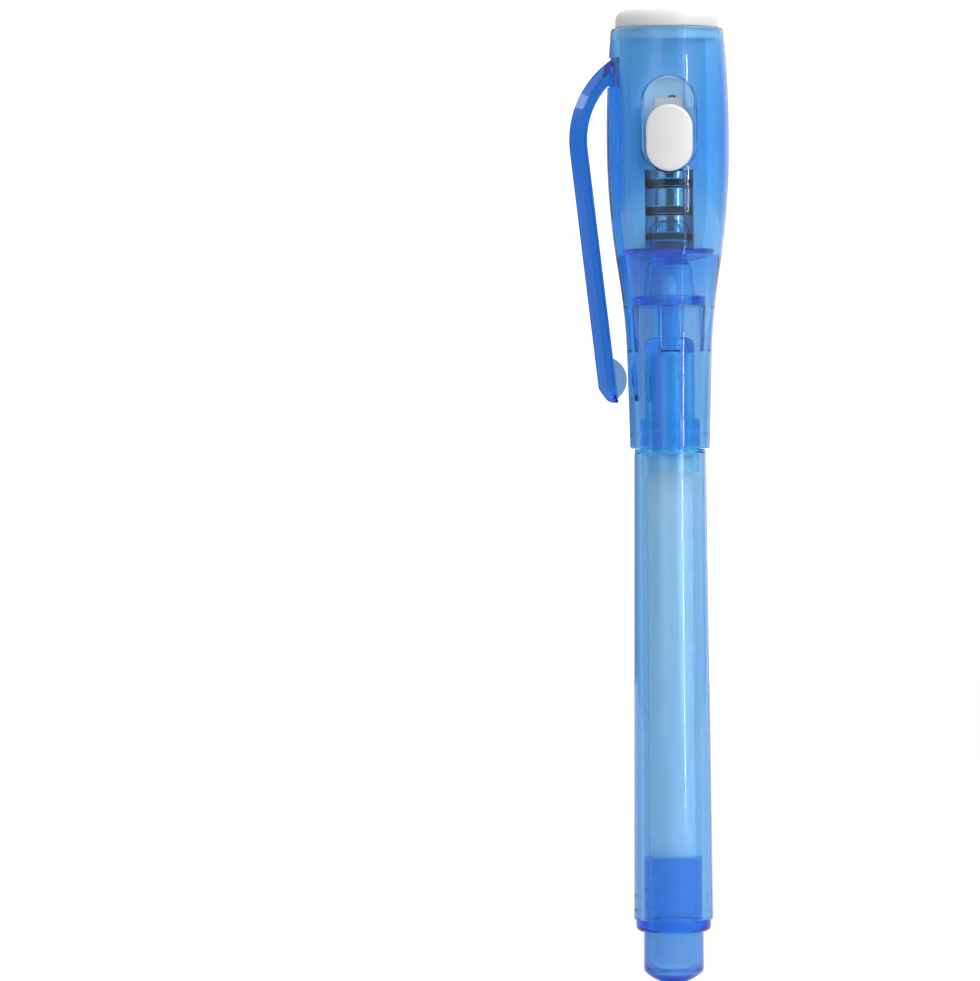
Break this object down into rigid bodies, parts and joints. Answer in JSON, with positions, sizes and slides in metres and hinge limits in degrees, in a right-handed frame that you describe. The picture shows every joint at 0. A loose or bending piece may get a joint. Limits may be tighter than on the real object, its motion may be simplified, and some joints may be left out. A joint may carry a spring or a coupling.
{
  "type": "uv invisible ink pen",
  "caption": "Translucent marker pen for invisible ink; its pull-off cap holds an ultraviolet lamp, button cells, a slide switch and a pocket clip.",
  "frame": {"origin": "on the pen's axis, in the plane of the shoulder that the tail post stands on", "axes": "+Z along the pen's axis towards the lamp; -Y is the switch side; -X is the pocket clip side"},
  "size_m": [0.0214, 0.0168, 0.1297],
  "materials": {
    "blue_clear_plastic": "polished, tinted clear",
    "white_plastic": "smooth",
    "milky_plastic": "milky blue, smooth",
    "white_fibre": "bonded fibre",
    "clear_film": "clear film",
    "lamp_resin": "clear resin",
    "tinned_wire": "tinned",
    "plated_contact": "nickel plated",
    "cell_steel": "nickel plated",
    "cell_gasket": "matt"
  },
  "bodies": {
    "pen": {"tail_plug": "blue_clear_plastic", "barrel": "blue_clear_plastic", "ink_fibre": "white_fibre", "ink_film": "clear_film", "front_section": "blue_clear_plastic", "fibre_nib": "white_fibre"},
    "cap": {"cap_shell": "blue_clear_plastic", "inner_cap": "blue_clear_plastic"},
    "clip": {"pocket_clip": "blue_clear_plastic"},
    "switch": {"switch_button": "white_plastic", "switch_wiper": "plated_contact"},
    "lamp_module": {"end_cap": "white_plastic", "lamp_core": "milky_plastic", "lamp_lens": "lamp_resin", "lamp_front_lead": "tinned_wire", "lamp_back_lead": "tinned_wire", "lamp_contact": "plated_contact", "cell_contact": "plated_contact", "return_strip": "plated_contact", "cell_1_can": "cell_steel", "cell_1_gasket": "cell_gasket", "cell_1_anode": "cell_steel", "cell_2_can": "cell_steel", "cell_2_gasket": "cell_gasket", "cell_2_anode": "cell_steel", "cell_3_can": "cell_steel", "cell_3_gasket": "cell_gasket", "cell_3_anode": "cell_steel"}
  },
  "joints": [
    {"name": "cap_pull", "type": "slide", "parent": "pen", "child": "cap", "axis": [0, 0, 1], "range_m": [0, 0.04]},
    {"name": "lamp_pull", "type": "slide", "parent": "cap", "child": "lamp_module", "axis": [0, 0, 1], "range_m": [0, 0.032]},
    {"name": "switch_slide", "type": "slide", "parent": "cap", "child": "switch", "axis": [0, 0, 1], "range_m": [0, 0.0034]},
    {"name": "clip_flex", "type": "hinge", "parent": "cap", "child": "clip", "pos_m": [-0.0072, 0, 0.11442], "axis": [0, 1, 0], "range_deg": [0, 4], "stiffness_Nm_per_rad": 0.04}
  ]
}
